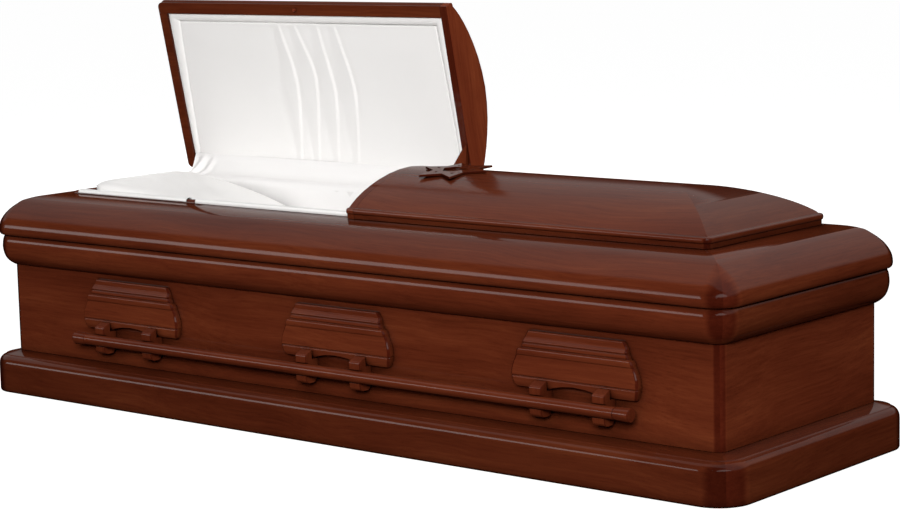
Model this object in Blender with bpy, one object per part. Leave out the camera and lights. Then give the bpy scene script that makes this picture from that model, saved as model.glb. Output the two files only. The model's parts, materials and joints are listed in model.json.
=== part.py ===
"""Hardwood coffin with a half couch lid: moulded body, two hipped caps, bar handles, bed, pillow and star."""

import math

import bmesh
import bpy
from mathutils import Vector

# Body of the box, measured over its panels.
BODY_LENGTH = 2.030
BODY_WIDTH = 0.590
WALL = 0.020
CORNER_INSET = 0.021
CORNER_STEPS = 3
MITRE_GAP = 0.0003
SEAT_GAP = 0.0003

# Heights above the ground.
BASE_TOP = 0.0960
BODY_MOULD_BOTTOM = 0.3055
PARTING = 0.3785
RIM_TOP = 0.4710
LIP_RISE = 0.0078
CREST = 0.5645

# Base: a moulded plinth with a ledge that carries the floor.
PLINTH_PROJECTION = 0.0525
PLINTH_THICKNESS = 0.0425
LEDGE_REACH = 0.0500
LEDGE_THICKNESS = 0.0360
FLOOR_THICKNESS = 0.012

# Mouldings.
MOULD_PROJECTION = 0.0308
RIM_PROJECTION = 0.0378
RIM_FOOT = 0.0400
RIM_FOOT_RISE = 0.0090
RIM_SKIRT = 0.0180
RIM_HAUNCH = 0.0290
SEAT_RUN = 0.0020
LIP_WIDTH = 0.0140

# Caps.
CAP_INSET = 0.0770
CAP_WALL = 0.0310
CAP_SEAT = 0.0003
BAND_HEIGHT = 0.0235
CROWN_SHELL = 0.0160
CAP_CORNER = 0.016
CAP_SPLIT = 0.0015
CAP_SPLIT_GAP = 0.0020
END_BOARD = 0.0200
LIP_CLEARANCE = 0.0010
HINGE_SETBACK = 0.0153
HINGE_RISE = 0.0036
HINGE_RADIUS = 0.0045
HINGE_END_GAP = 0.0300
LEAF_LAP = 0.0032
LEAF_RISE = 0.0022
LEAF_THICKNESS = 0.0020
OPEN_ANGLE = 78.2

# Interior.
BED_TOP = 0.3720
BED_PAD = 0.0600
BED_BOARD = 0.0120
BED_END_GAP = 0.1050
BED_SIDE_GAP = 0.0050
SUPPORT_THICKNESS = 0.018
SUPPORT_SETBACK = 0.330
LINING_GAP = 0.0010
LINING_THICKNESS = 0.0060
LINING_TOP_GAP = 0.0010
LINING_DROP = 0.0900
PILLOW_HEAD_GAP = 0.0053
PILLOW_LENGTH = 0.4350
PILLOW_SIDE_GAP = 0.0060
PILLOW_THICKNESS = 0.1480
PILLOW_LEAN = 0.0350
LID_PAD_DEPTH = 0.0080
LID_PAD = 0.0100

# Handles.
HANDLE_CENTRE = 0.041
EAR_END_INSET = 0.378
EAR_BACK = 0.0003
EAR_HALF = 0.1560
EAR_THICKNESS = 0.0185
EAR_LIFT = 0.0210
EAR_HEIGHT = 0.1155
EAR_EASE = 0.0035
ARCH_HALF = 0.0640
ARCH_RISE = 0.0120
ARM_OFFSET = 0.0775
ARM_WIDTH = 0.030
ARM_RISE = 0.0405
ARM_SHOULDER = 0.0310
ARM_CHAMFER = 0.0020
ARM_DROP = 0.0325
ARM_GAP = 0.0005
BAR_STANDOFF = 0.040
BAR_HEIGHT = 0.156
BAR_RADIUS = 0.0130
BAR_OVERHANG = 0.0265
TIP_LENGTH = 0.0380
TIP_RADIUS = 0.0150
BAR_SIDES = 16

# Star on the foot cap.
STAR_FROM_SPLIT = 0.1485
STAR_OFF_RIDGE = 0.0210
STAR_RADIUS = 0.0862
STAR_BAR = 0.0165
STAR_THICKNESS = 0.0050
STAR_LIFT = 0.0012
STAR_FRONT_SLOPE = 0.120
STAR_BACK_SLOPE = 0.030
STAR_CUT_BELOW = 0.020
STAR_CUT_ABOVE = 0.030

# Catch on the head cap and its recess in the rim.
CATCH_FROM_SPLIT = 0.4685
CATCH_INSET = 0.0170
CATCH_RADIUS = 0.0040
CATCH_DROP = 0.0070
STRIKE_HALF = 0.0160
STRIKE_REACH = 0.0095
STRIKE_DEPTH = 0.0120
FINGER_HALF = 0.046
FINGER_DEPTH = 0.0050

# Wedge in the hinge corner of the head cap.
WEDGE_LENGTH = 0.0400
WEDGE_WIDTH = 0.0490
WEDGE_DEPTH = 0.0110
WEDGE_FROM_BACK = 0.0600

# Places that follow from the sizes above.
HALF_L = BODY_LENGTH / 2
HALF_W = BODY_WIDTH / 2
CAP_Y = HALF_W - CAP_INSET
CAP_X = HALF_L - CAP_INSET
LIP_OUT = CAP_INSET + CAP_WALL + LIP_CLEARANCE
LIP_IN = LIP_OUT + LIP_WIDTH
LIP_TOP = RIM_TOP + LIP_RISE
HINGE_Y = CAP_Y + HINGE_SETBACK
HINGE_Z = RIM_TOP + HINGE_RISE
CATCH_X = CAP_SPLIT - CATCH_FROM_SPLIT
CATCH_Y = -(CAP_Y - CATCH_INSET)
STAR_CENTRE = (CAP_SPLIT + STAR_FROM_SPLIT, -STAR_OFF_RIDGE)
LINING_Y = HALF_W - LIP_IN - LINING_GAP - LINING_THICKNESS
LINING_X = HALF_L - LIP_IN - LINING_GAP - LINING_THICKNESS
LINING_TOP = RIM_TOP - LINING_TOP_GAP
BED_HALF_LENGTH = HALF_L - WALL - BED_END_GAP
BED_HALF_WIDTH = LINING_Y - BED_SIDE_GAP
PILLOW_HALF_WIDTH = LINING_Y - PILLOW_SIDE_GAP
EAR_SPACING = HALF_L - EAR_END_INSET
EAR_BOTTOM = BAR_HEIGHT + EAR_LIFT
BAR_HALF = EAR_SPACING + ARM_OFFSET + ARM_WIDTH / 2 + BAR_OVERHANG


def clear_scene():
    for thing in list(bpy.data.objects):
        bpy.data.objects.remove(thing, do_unlink=True)


def finish_material(name, colour, roughness, metallic=0.0):
    material = bpy.data.materials.new(name)
    material.use_nodes = True
    shader = material.node_tree.nodes["Principled BSDF"]
    shader.inputs["Base Color"].default_value = (*colour, 1.0)
    shader.inputs["Roughness"].default_value = roughness
    shader.inputs["Metallic"].default_value = metallic
    material.diffuse_color = (*colour, 1.0)
    return material


def mahogany(name):
    return finish_material(name, (0.105, 0.026, 0.012), 0.22)


def satin_cloth(name):
    return finish_material(name, (0.86, 0.84, 0.80), 0.75)


def antique_metal(name):
    return finish_material(name, (0.16, 0.07, 0.03), 0.35, 0.9)


def make_solid(name, bm, material, parent=None):
    bmesh.ops.remove_doubles(bm, verts=bm.verts, dist=0.000005)
    bmesh.ops.dissolve_degenerate(bm, dist=0.000005, edges=bm.edges)
    bmesh.ops.triangulate(bm, faces=bm.faces, quad_method="BEAUTY", ngon_method="EAR_CLIP")
    bmesh.ops.recalc_face_normals(bm, faces=bm.faces)
    if bm.calc_volume(signed=True) < 0:
        bmesh.ops.reverse_faces(bm, faces=bm.faces)
    mesh = bpy.data.meshes.new(name)
    bm.to_mesh(mesh)
    bm.free()
    mesh.materials.append(material)
    body = bpy.data.objects.new(name, mesh)
    bpy.context.scene.collection.objects.link(body)
    if parent is not None:
        body.parent = parent
    return body


def add_rings(bm, rings, close_ends=True, ring_is_loop=True):
    """Join point rings of equal length into a skin; the first and last ring are the end faces."""
    rows = [[bm.verts.new(point) for point in ring] for ring in rings]
    count = len(rows[0])
    spans = count if ring_is_loop else count - 1
    for low, high in zip(rows, rows[1:]):
        for i in range(spans):
            j = (i + 1) % count
            corners = [low[i], low[j], high[j], high[i]]
            distinct = []
            for vert in corners:
                if all((vert.co - other.co).length > 0.000005 for other in distinct):
                    distinct.append(vert)
            if len(distinct) > 2:
                bm.faces.new(distinct)
    if close_ends:
        bm.faces.new(list(reversed(rows[0])))
        bm.faces.new(rows[-1])
    return rows


def box_solid(name, low, high, material, parent=None):
    bm = bmesh.new()
    x0, y0, z0 = low
    x1, y1, z1 = high
    ring = [(x0, y0), (x1, y0), (x1, y1), (x0, y1)]
    add_rings(bm, [[(x, y, z) for x, y in ring] for z in (z0, z1)])
    return make_solid(name, bm, material, parent)


def prism(name, outline, place, low, high, material, parent=None):
    """Straight extrusion of a flat outline; place turns (u, v, w) into a point in space."""
    bm = bmesh.new()
    add_rings(bm, [[place(u, v, w) for u, v in outline] for w in (low, high)])
    return make_solid(name, bm, material, parent)


def cut_away(body, name, bm):
    """Cut a closed shape out of a body; the cutter stays in the file as a hidden guide."""
    bmesh.ops.recalc_face_normals(bm, faces=bm.faces)
    mesh = bpy.data.meshes.new(name)
    bm.to_mesh(mesh)
    bm.free()
    cutter = bpy.data.objects.new(name, mesh)
    bpy.context.scene.collection.objects.link(cutter)
    cutter.hide_render = True
    cutter.display_type = "WIRE"
    if body.parent is not None:
        cutter.parent = body.parent
    cut = body.modifiers.new(name, "BOOLEAN")
    cut.operation = "DIFFERENCE"
    cut.solver = "EXACT"
    cut.object = cutter
    return cutter


# Lengths that run round the body, each mitred at the middle of the rounded corners.
SIDES = {
    "front": (Vector((1, 0, 0)), Vector((0, -1, 0)), HALF_L, HALF_W),
    "back": (Vector((-1, 0, 0)), Vector((0, 1, 0)), HALF_L, HALF_W),
    "head_end": (Vector((0, -1, 0)), Vector((-1, 0, 0)), HALF_W, HALF_L),
    "foot_end": (Vector((0, 1, 0)), Vector((1, 0, 0)), HALF_W, HALF_L),
}


def mitred_length(name, side, profile, material):
    """Sweep a closed profile of (projection from the body face, height) along one side of the body."""
    along, outward, half_along, half_out = SIDES[side]
    back_off = MITRE_GAP / 2 * math.sqrt(2)
    stations = []
    for end in (-1, 1):
        turns = [math.radians(45) * k / CORNER_STEPS for k in range(CORNER_STEPS + 1)]
        if end < 0:
            turns.reverse()
        for turn in turns:
            ring = []
            for projection, height in profile:
                reach = CORNER_INSET + projection
                if reach > 0.0001:
                    a = half_along - CORNER_INSET + reach * math.sin(turn)
                    b = half_out - CORNER_INSET + reach * math.cos(turn)
                    trim = back_off if turn > math.radians(44) else 0.0
                else:
                    a = half_along + projection
                    b = half_out + projection
                    trim = back_off
                place = along * (end * (a - trim)) + outward * b
                ring.append((place.x, place.y, height))
            stations.append(ring)
    bm = bmesh.new()
    add_rings(bm, stations)
    return make_solid(name, bm, material)


# Moulding curves, as shares of each moulding's own projection and height, from the bottom up.
PLINTH_CURVE = [
    (0.9620, 0.0000),
    (1.0000, 0.0365),
    (1.0000, 0.6667),
    (0.9752, 0.7552),
    (0.8990, 0.8333),
    (0.7905, 0.8854),
    (0.6762, 0.9083),
    (0.6667, 0.9250),
    (0.0190, 1.0000),
]
BODY_MOULD_CURVE = [
    (0.1461, 0.0083),
    (0.3896, 0.0715),
    (0.6169, 0.1541),
    (0.7955, 0.2545),
    (0.9253, 0.3920),
    (1.0000, 0.5571),
    (1.0000, 0.6878),
    (0.9545, 0.8391),
    (0.8506, 0.9560),
    (0.7630, 1.0000),
]
RIM_CURVE = [
    (0.9247, 0.0000),
    (0.9675, 0.0216),
    (0.9932, 0.0735),
    (1.0000, 0.1514),
    (0.9914, 0.2432),
    (0.9658, 0.3459),
    (0.9204, 0.4454),
    (0.8630, 0.5405),
    (0.7834, 0.6357),
    (0.7021, 0.7135),
    (0.6164, 0.7838),
    (0.5308, 0.8476),
    (0.4281, 0.9027),
    (0.3082, 0.9492),
    (0.1627, 0.9816),
    (0.0000, 1.0000),
]
LIP_CURVE = [
    (0.0000, 0.0000),
    (0.0714, 0.5770),
    (0.2500, 0.9231),
    (0.4286, 1.0000),
    (0.6429, 1.0000),
    (0.8571, 0.8462),
    (1.0000, 0.4872),
]


def base_profile():
    ledge = BASE_TOP - LEDGE_THICKNESS
    inner = PLINTH_PROJECTION - PLINTH_THICKNESS
    profile = [(-LEDGE_REACH, ledge), (inner, ledge), (inner, 0.0)]
    profile += [(out * PLINTH_PROJECTION, up * BASE_TOP) for out, up in PLINTH_CURVE]
    profile.append((-LEDGE_REACH, BASE_TOP))
    return profile


def panel_profile():
    low, high = BASE_TOP + SEAT_GAP, PARTING - SEAT_GAP
    return [(-WALL, low), (0.0, low), (0.0, high), (-WALL, high)]


def body_mould_profile():
    top = PARTING - SEAT_GAP
    bottom = BODY_MOULD_BOTTOM
    profile = [(SEAT_GAP, bottom)]
    profile += [(out * MOULD_PROJECTION, bottom + up * (top - bottom)) for out, up in BODY_MOULD_CURVE]
    profile.append((SEAT_GAP, top))
    return profile


def rim_profile():
    seat = CAP_INSET + SEAT_RUN
    profile = [(-RIM_FOOT, PARTING)]
    for out, up in RIM_CURVE:
        profile.append((out * (RIM_PROJECTION + seat) - seat, PARTING + up * (RIM_TOP - PARTING)))
    profile += [(-LIP_OUT - across * LIP_WIDTH, RIM_TOP + up * LIP_RISE) for across, up in LIP_CURVE]
    profile.append((-LIP_IN, RIM_TOP - RIM_SKIRT))
    profile.append((-LIP_IN + 2 * LIP_WIDTH, RIM_TOP - RIM_HAUNCH))
    profile.append((-RIM_FOOT, PARTING + RIM_FOOT_RISE))
    return profile


def build_carcass():
    groups = (
        ("base", base_profile()),
        ("panel", panel_profile()),
        ("body_moulding", body_mould_profile()),
        ("rim", rim_profile()),
    )
    built = {}
    for kind, profile in groups:
        for side in SIDES:
            name = f"{side}_{kind}"
            built[name] = mitred_length(name, side, profile, mahogany(f"{name}_wood"))
    inner_l = HALF_L - WALL - 2 * SEAT_GAP
    inner_w = HALF_W - WALL - 2 * SEAT_GAP
    low = BASE_TOP + SEAT_GAP
    box_solid("floor_board", (-inner_l, -inner_w, low), (inner_l, inner_w, low + FLOOR_THICKNESS),
              mahogany("floor_board_wood"))
    strike = bmesh.new()
    y0, y1 = CATCH_Y - STRIKE_REACH, CATCH_Y + STRIKE_REACH
    z0, z1 = RIM_TOP - STRIKE_DEPTH, RIM_TOP + LIP_RISE / 2
    ring = [(CATCH_X - STRIKE_HALF, y0), (CATCH_X + STRIKE_HALF, y0),
            (CATCH_X + STRIKE_HALF, y1), (CATCH_X - STRIKE_HALF, y1)]
    add_rings(strike, [[(x, y, z) for x, y in ring] for z in (z0, z1)])
    cut_away(built["front_rim"], "catch_recess_cutter", strike)

    # The raised lip stops where the two caps meet, to let their end boards down.
    for side, face in (("front", -1), ("back", 1)):
        gap = bmesh.new()
        near = face * (HALF_W - LIP_IN - LIP_WIDTH / 4)
        far = face * (HALF_W - LIP_OUT + LIP_CLEARANCE)
        x0 = CAP_SPLIT - CAP_SPLIT_GAP / 2 - END_BOARD - LIP_CLEARANCE
        x1 = CAP_SPLIT + CAP_SPLIT_GAP / 2 + END_BOARD + LIP_CLEARANCE
        ring = [(x0, near), (x1, near), (x1, far), (x0, far)]
        add_rings(gap, [[(x, y, z) for x, y in ring] for z in (RIM_TOP - LIP_CLEARANCE, LIP_TOP + LIP_RISE / 2)])
        cut_away(built[f"{side}_rim"], f"{side}_lip_cutter", gap)


# Caps. The band's beads are shares of its height; the crown's height runs with the distance in from the edge.
BAND = [(0.149, 0.0), (0.149, 0.447), (0.043, 0.532), (0.0, 0.723), (0.043, 0.915), (0.191, 1.0)]
CROWN = [
    (0.0459, 0.2599),
    (0.0917, 0.3422),
    (0.1606, 0.4513),
    (0.2523, 0.5690),
    (0.3670, 0.6898),
    (0.5046, 0.8053),
    (0.6651, 0.9070),
    (0.8257, 0.9711),
    (1.0000, 1.0000),
]


def crown_points():
    return [(inset * CAP_Y, RIM_TOP + up * (CREST - RIM_TOP)) for inset, up in CROWN]


def crown_height(inset):
    last = crown_points()[0]
    for point in crown_points()[1:]:
        if inset <= point[0]:
            share = (inset - last[0]) / (point[0] - last[0])
            return last[1] + share * (point[1] - last[1])
        last = point
    return CREST


def cap_section():
    """Outer and inner lines of the cap wall as (inset, height), from the rim up to the middle."""
    seat = RIM_TOP + CAP_SEAT
    outer = [(inset * BAND_HEIGHT, seat + up * (BAND_HEIGHT - CAP_SEAT)) for inset, up in BAND]
    outer += crown_points()
    inner = [(CAP_WALL, seat), (CAP_WALL, RIM_TOP + 0.915 * BAND_HEIGHT)]
    for inset, height in crown_points()[3:]:
        inner.append((inset, height - CROWN_SHELL))
    return outer, inner


def crown_shell(name, end, cut_x, material, parent=None, origin=Vector((0, 0, 0))):
    """Hipped crown open at cut_x; end is -1 at the head and 1 at the foot."""
    outer, inner = cap_section()

    def ring(inset, height):
        points = [(cut_x, -(CAP_Y - inset))]
        radius = CAP_CORNER - inset
        for side in (-1, 1):
            turns = [math.radians(90) * k / 3 for k in range(4)]
            if side > 0:
                turns.reverse()
            for turn in turns:
                if radius > 0.0002:
                    x = CAP_X - CAP_CORNER + radius * math.sin(turn)
                    y = CAP_Y - CAP_CORNER + radius * math.cos(turn)
                else:
                    x = CAP_X - inset
                    y = CAP_Y - inset
                points.append((end * x, side * y))
        points.append((cut_x, CAP_Y - inset))
        return [(x - origin.x, y - origin.y, height - origin.z) for x, y in points]

    bm = bmesh.new()
    outer_rows = add_rings(bm, [ring(*point) for point in outer], False, False)
    inner_rows = add_rings(bm, [ring(*point) for point in inner], False, False)
    foot, inside = outer_rows[0], inner_rows[0]
    for i in range(len(foot) - 1):
        bm.faces.new([foot[i], foot[i + 1], inside[i + 1], inside[i]])
    loop = [row[0] for row in outer_rows] + [row[-1] for row in reversed(outer_rows[:-1])]
    loop += [row[-1] for row in inner_rows] + [row[0] for row in reversed(inner_rows[:-1])]
    bm.faces.new(loop)
    return make_solid(name, bm, material, parent)


def end_board(name, x0, x1, material, parent=None, origin=Vector((0, 0, 0))):
    outer, _ = cap_section()
    half = [(-(CAP_Y - inset), height) for inset, height in outer]
    outline = half + [(-y, z) for y, z in reversed(half[:-1])]

    def place(u, v, w):
        return (w - origin.x, u - origin.y, v - origin.z)

    return prism(name, outline, place, x0, x1, material, parent)


def hexagram(name, centre, bottom_z):
    """Openwork six pointed star: two crossed triangles with a hole in each point and the middle. It is bent a
    little along the line through its left and right points, to sit astride the ridge."""
    bm = bmesh.new()
    inner = STAR_RADIUS / math.sqrt(3)
    outline = []
    for k in range(12):
        reach = STAR_RADIUS if k % 2 == 0 else inner
        turn = math.radians(30 * k)
        outline.append((reach * math.cos(turn), reach * math.sin(turn)))

    def lift(x, y, top):
        slope = STAR_BACK_SLOPE if y > 0 else STAR_FRONT_SLOPE
        rise = bottom_z + slope * y + (STAR_THICKNESS if top else 0.0)
        return (centre[0] + x, centre[1] + y, rise)

    for row in add_rings(bm, [[lift(x, y, top) for x, y in outline] for top in (False, True)], False):
        bm.faces.new(row[:7])
        bm.faces.new(row[6:] + row[:1])
    star = make_solid(name, bm, mahogany(f"{name}_wood"))
    hole = bmesh.new()
    apothem = STAR_RADIUS / 2 - STAR_BAR
    holes = [[(apothem / math.cos(math.radians(30)) * math.cos(math.radians(60 * k)),
               apothem / math.cos(math.radians(30)) * math.sin(math.radians(60 * k))) for k in range(6)]]
    near = STAR_RADIUS / 2
    tip = 2 * apothem
    for k in range(6):
        turn = math.radians(60 * k)
        half = (tip - near) / math.sqrt(3)
        corners = [(near, -half), (tip, 0.0), (near, half)]
        holes.append([(math.cos(turn) * a - math.sin(turn) * b, math.sin(turn) * a + math.cos(turn) * b)
                      for a, b in corners])
    for outline in holes:
        add_rings(hole, [[(centre[0] + x, centre[1] + y, bottom_z + lift_z) for x, y in outline]
                         for lift_z in (-STAR_CUT_BELOW, STAR_CUT_ABOVE)])
    cut_away(star, "star_hole_cutter", hole)
    return star


def build_caps():
    hinge = Vector((0, HINGE_Y, HINGE_Z))
    pivot = bpy.data.objects.new("head_cap_pivot", None)
    bpy.context.scene.collection.objects.link(pivot)
    pivot.location = hinge
    pivot.rotation_euler = (math.radians(-OPEN_ANGLE), 0.0, 0.0)

    head_cut = CAP_SPLIT - CAP_SPLIT_GAP / 2
    foot_cut = CAP_SPLIT + CAP_SPLIT_GAP / 2
    crown_shell("foot_cap", 1, foot_cut + END_BOARD + SEAT_GAP, mahogany("foot_cap_wood"))
    end_board("foot_cap_end_board", foot_cut, foot_cut + END_BOARD, mahogany("foot_cap_end_wood"))
    cap = crown_shell("head_cap", -1, head_cut - END_BOARD - SEAT_GAP, mahogany("head_cap_wood"), pivot, hinge)
    end_board("head_cap_end_board", head_cut - END_BOARD, head_cut, mahogany("head_cap_end_wood"), pivot, hinge)

    # Finger notch in the middle of the head cap's front edge.
    notch = bmesh.new()
    rings = []
    for share, hollow in ((-1.0, 0.02), (-0.6, 0.7), (0.0, 1.0), (0.6, 0.7), (1.0, 0.02)):
        depth = hollow * FINGER_DEPTH
        y0 = -(CAP_Y + 2 * FINGER_DEPTH)
        y1 = -(CAP_Y - BAND[0][0] * BAND_HEIGHT - 2.2 * depth)
        z0 = RIM_TOP - 2 * FINGER_DEPTH
        z1 = RIM_TOP + CAP_SEAT + depth
        rings.append([(CATCH_X + share * FINGER_HALF, y - hinge.y, z - hinge.z)
                      for y, z in ((y0, z0), (y1, z0), (y0 + 2.1 * FINGER_DEPTH, z1), (y0, z1))])
    add_rings(notch, rings)
    cut_away(cap, "finger_notch_cutter", notch)

    # Lining board in the mouth of the head cap, inside the wooden frame.
    mouth_y = CAP_Y - CAP_WALL - SEAT_GAP
    low = RIM_TOP + CAP_SEAT + LID_PAD_DEPTH
    box_solid("head_cap_lining",
              (-(CAP_X - CAP_WALL - SEAT_GAP), -mouth_y - hinge.y, low - hinge.z),
              (head_cut - END_BOARD - SEAT_GAP, mouth_y - hinge.y, low + LID_PAD - hinge.z),
              satin_cloth("head_cap_lining_cloth"), pivot)

    # Catch pin under the front edge, and the wedge in the hinge corner.
    bm = bmesh.new()
    rings = []
    tip = CATCH_RADIUS / 4
    for z, r in ((RIM_TOP, 1.0), (RIM_TOP - CATCH_DROP + tip, 1.0), (RIM_TOP - CATCH_DROP, 0.7)):
        rings.append([(CATCH_X + r * CATCH_RADIUS * math.cos(math.radians(30 * k)),
                       CATCH_Y + r * CATCH_RADIUS * math.sin(math.radians(30 * k)) - hinge.y,
                       z - hinge.z) for k in range(12)])
    add_rings(bm, rings)
    make_solid("catch_pin", bm, mahogany("catch_pin_wood"), pivot)

    bm = bmesh.new()
    top = RIM_TOP
    near_x = head_cut - 0.0025
    far_y = CAP_Y - WEDGE_FROM_BACK
    face = [(near_x, far_y - WEDGE_WIDTH), (near_x - 0.45 * WEDGE_LENGTH, far_y - 0.63 * WEDGE_WIDTH),
            (near_x - WEDGE_LENGTH, far_y), (near_x - 0.1 * WEDGE_LENGTH, far_y)]
    drop = [0.09 * WEDGE_DEPTH, 0.36 * WEDGE_DEPTH, WEDGE_DEPTH, WEDGE_DEPTH]
    upper = [(x, y - hinge.y, top - hinge.z) for x, y in face]
    lower = [(x, y - hinge.y, top - d - hinge.z) for (x, y), d in zip(face, drop)]
    add_rings(bm, [lower, upper])
    make_solid("corner_wedge", bm, mahogany("corner_wedge_wood"), pivot)

    # Long hinge at the back: knuckle on the rim, leaf on the cap.
    low_x, high_x = -(CAP_X - HINGE_END_GAP), CAP_SPLIT - HINGE_END_GAP
    bm = bmesh.new()
    add_rings(bm, [[(x, HINGE_Y + HINGE_RADIUS * math.cos(math.radians(36 * k)),
                     HINGE_Z + HINGE_RADIUS * math.sin(math.radians(36 * k))) for k in range(10)]
                   for x in (low_x, high_x)])
    make_solid("hinge_knuckle", bm, antique_metal("hinge_knuckle_metal"))
    box_solid("hinge_leaf",
              (low_x, CAP_Y - LEAF_LAP - hinge.y, RIM_TOP + LEAF_RISE - hinge.z),
              (high_x, HINGE_Y - HINGE_RADIUS - SEAT_GAP - hinge.y, RIM_TOP + LEAF_RISE + LEAF_THICKNESS - hinge.z),
              antique_metal("hinge_leaf_metal"), pivot)

    star_floor = crown_height(CAP_Y + STAR_CENTRE[1]) + STAR_LIFT
    hexagram("star", STAR_CENTRE, star_floor)


# Handle plates, as shares of their height, half width and thickness, from the top down.
EAR = [
    (1.0000, 0.7370, 0.3500),
    (0.9850, 0.7650, 0.4700),
    (0.9350, 0.7900, 0.4750),
    (0.8830, 0.8100, 0.5100),
    (0.8500, 0.8180, 0.6600),
    (0.8270, 0.8230, 0.7800),
    (0.8000, 0.8230, 0.7800),
    (0.7820, 0.8230, 0.6500),
    (0.7580, 0.8350, 0.7800),
    (0.7220, 0.8450, 0.8100),
    (0.7000, 0.8500, 0.7000),
    (0.6800, 0.8950, 0.8900),
    (0.6320, 0.9180, 0.9500),
    (0.5770, 0.9250, 0.9000),
    (0.5650, 0.9280, 0.7900),
    (0.4550, 0.9650, 0.8600),
    (0.3350, 0.9930, 0.9400),
    (0.2150, 1.0000, 1.0000),
    (0.2000, 0.9920, 0.8400),
    (0.1820, 0.9920, 0.9500),
    (0.1300, 0.9850, 0.9200),
    (0.0550, 0.9720, 0.8100),
    (0.0000, 0.9450, 0.5400),
]
EAR_ARCH = [(0.0, 0.0), (0.22, 0.45), (0.53, 0.82), (1.0, 1.0)]


def handle_arm_outline():
    """Side outline of an arm as (distance out from the panel, height)."""
    front = EAR_THICKNESS + ARM_GAP
    under = EAR_BOTTOM - ARM_GAP
    cup = (BAR_RADIUS + SEAT_GAP) / math.cos(math.radians(15))
    outline = [(2 * EAR_BACK, BAR_HEIGHT - 0.66 * ARM_DROP), (2 * EAR_BACK, under), (front, under)]
    outline.append((front, BAR_HEIGHT + ARM_RISE))
    outline.append((BAR_STANDOFF - ARM_CHAMFER, BAR_HEIGHT + ARM_SHOULDER + ARM_CHAMFER / 2))
    outline.append((BAR_STANDOFF, BAR_HEIGHT + ARM_SHOULDER - ARM_CHAMFER))
    for k in range(7):
        turn = math.radians(90 + 30 * k)
        outline.append((BAR_STANDOFF + cup * math.cos(turn), BAR_HEIGHT + cup * math.sin(turn)))
    for out, down in ((1.0, 0.585), (0.9625, 0.8), (0.85, 0.948), (0.675, 1.0), (0.3, 0.985)):
        outline.append((out * BAR_STANDOFF, BAR_HEIGHT - down * ARM_DROP))
    return outline


def build_handles(side, face):
    """face is -1 on the front and 1 on the back."""
    wood = mahogany(f"{side}_handle_wood")
    panel = face * HALF_W

    def out(u, v, w):
        return (w, panel + face * u, v)

    for label, step in (("head", -1), ("middle", 0), ("foot", 1)):
        x = HANDLE_CENTRE + step * EAR_SPACING
        bm = bmesh.new()
        rings = []
        for up, wide, thick in EAR:
            height, half, depth = EAR_BOTTOM + up * EAR_HEIGHT, wide * EAR_HALF, thick * EAR_THICKNESS
            rings.append([(x + s * w, panel + face * d, height) for s, w, d in (
                (-1, half, EAR_BACK), (-1, half, depth - EAR_EASE), (-1, half - EAR_EASE, depth),
                (1, half - EAR_EASE, depth), (1, half, depth - EAR_EASE), (1, half, EAR_BACK))])
        add_rings(bm, rings)
        ear = make_solid(f"{side}_{label}_ear", bm, mahogany(f"{side}_{label}_ear_wood"))
        arch = bmesh.new()
        ring = [(-ARCH_HALF, EAR_BOTTOM - ARCH_RISE)]
        ring += [(-(1 - across) * ARCH_HALF, EAR_BOTTOM + up * ARCH_RISE) for across, up in EAR_ARCH]
        ring += [(-a, z) for a, z in reversed(ring[:-1])]
        add_rings(arch, [[(x + a, panel + face * d, z) for a, z in ring] for d in (-0.01, 2 * EAR_THICKNESS)])
        cut_away(ear, f"{side}_{label}_arch_cutter", arch)
        for arm, offset in (("left", -ARM_OFFSET), ("right", ARM_OFFSET)):
            middle = x + offset
            prism(f"{side}_{label}_{arm}_arm", handle_arm_outline(), out,
                  middle - ARM_WIDTH / 2, middle + ARM_WIDTH / 2, wood)

    def round_ring(x, radius):
        points = []
        for k in range(BAR_SIDES):
            turn = 2 * math.pi * (k + 0.5) / BAR_SIDES
            points.append((x, panel + face * (BAR_STANDOFF + radius * math.cos(turn)),
                           BAR_HEIGHT + radius * math.sin(turn)))
        return points

    bm = bmesh.new()
    add_rings(bm, [round_ring(HANDLE_CENTRE + s * BAR_HALF, BAR_RADIUS) for s in (-1, 1)])
    make_solid(f"{side}_handle_bar", bm, mahogany(f"{side}_handle_bar_wood"))
    for label, s in (("head", -1), ("foot", 1)):
        joint = HANDLE_CENTRE + s * (BAR_HALF + SEAT_GAP)
        stations = ((0.0, 0.84), (0.08, 0.893), (0.53, 0.947), (0.908, 1.0), (0.987, 0.933), (1.0, 0.8))
        bm = bmesh.new()
        add_rings(bm, [round_ring(joint + s * a * TIP_LENGTH, r * TIP_RADIUS) for a, r in stations])
        make_solid(f"{side}_{label}_bar_tip", bm, mahogany(f"{side}_{label}_bar_tip_wood"))


# Pillow, as shares of its half width and of its thickness, from the bed up.
PILLOW_CROWN = [
    (0.86, 0.0),
    (0.97, 0.14),
    (1.00, 0.30),
    (0.97, 0.46),
    (0.89, 0.62),
    (0.76, 0.77),
    (0.57, 0.90),
    (0.34, 0.97),
    (0.12, 1.00),
]


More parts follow.
